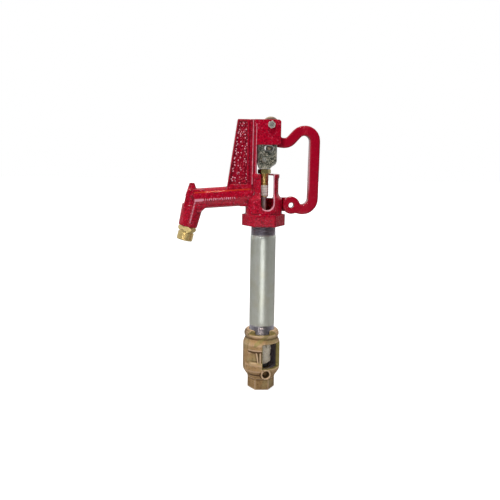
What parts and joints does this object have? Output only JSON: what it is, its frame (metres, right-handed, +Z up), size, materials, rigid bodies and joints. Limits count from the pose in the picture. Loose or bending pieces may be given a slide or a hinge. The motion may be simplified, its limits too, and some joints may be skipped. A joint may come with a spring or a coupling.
{
  "type": "yard hydrant",
  "caption": "Frost-proof yard hydrant on a short standpipe, cut away to show packing and plunger; the lever lifts the rod through twin links to open it.",
  "frame": {"origin": "on the standpipe's axis inside the inlet's mouth, 4 mm above the hexagon's lower face", "axes": "+Z up along the standpipe, -X towards the spout, +X towards the lever, -Y is the cut-away side"},
  "size_m": [0.2354, 0.0633, 0.4576],
  "materials": {
    "cast_brass": "as cast, sand texture, dull tan-brown",
    "turned_brass": "machined, satin to bright",
    "dull_brass": "machined, oxidised olive",
    "pin_brass": "drawn pin, dull tan",
    "galvanised_pipe": "hot-dip galvanised, satin grey-green",
    "cast_galvanised": "galvanised casting, mottled grey-green",
    "zinc_steel": "zinc plated, bright",
    "plain_steel": "plain strip steel, dull",
    "rod_steel": "drawn bright steel",
    "red_enamel": "glossy crimson enamel over a sand casting",
    "ptfe": "white packing, waxy",
    "seal_rubber": "black rubber",
    "plunger_plastic": "off-white moulded plastic, mottled"
  },
  "bodies": {
    "root": {"valve_body": "cast_brass", "valve_seat": "turned_brass", "standpipe": "galvanised_pipe", "head_casting": "red_enamel", "hose_nozzle": "turned_brass", "packing_nut": "dull_brass", "packing_gland": "turned_brass", "packing_rings": "ptfe", "packing_washer": "turned_brass", "pivot_bolt": "zinc_steel", "pivot_nut": "zinc_steel", "pivot_washer": "zinc_steel"},
    "lever": {"lever_handle": "red_enamel", "pivot_bush": "turned_brass", "crank_pin": "zinc_steel"},
    "links": {"link_front": "plain_steel", "link_back": "plain_steel", "yoke_pin": "pin_brass"},
    "rod": {"rod_yoke": "cast_galvanised", "yoke_set_screw": "zinc_steel", "lift_rod": "rod_steel", "rod_lock_nut": "zinc_steel", "plunger_top_nut": "turned_brass", "plunger_cup": "plunger_plastic", "plunger_body": "plunger_plastic", "plunger_seal": "seal_rubber", "seal_washer": "zinc_steel", "plunger_screw": "zinc_steel"}
  },
  "joints": [
    {"name": "lever_lift", "type": "hinge", "parent": "root", "child": "lever", "pos_m": [0.0093, 0, 0.4396], "axis": [0, -1, 0], "range_deg": [0, 65]},
    {"name": "link_swing", "type": "hinge", "parent": "lever", "child": "links", "pos_m": [0.01849, 0, 0.43041], "axis": [0, -1, 0], "range_deg": [-69.6, 0]},
    {"name": "rod_rise", "type": "slide", "parent": "root", "child": "rod", "axis": [0, 0, 1], "range_m": [0, 0.0147]}
  ],
  "couplings": [
    {"joint": "link_swing", "follows": "lever_lift", "ratio": -1.0629},
    {"joint": "rod_rise", "follows": "lever_lift", "m_per_rad": 0.012809}
  ]
}
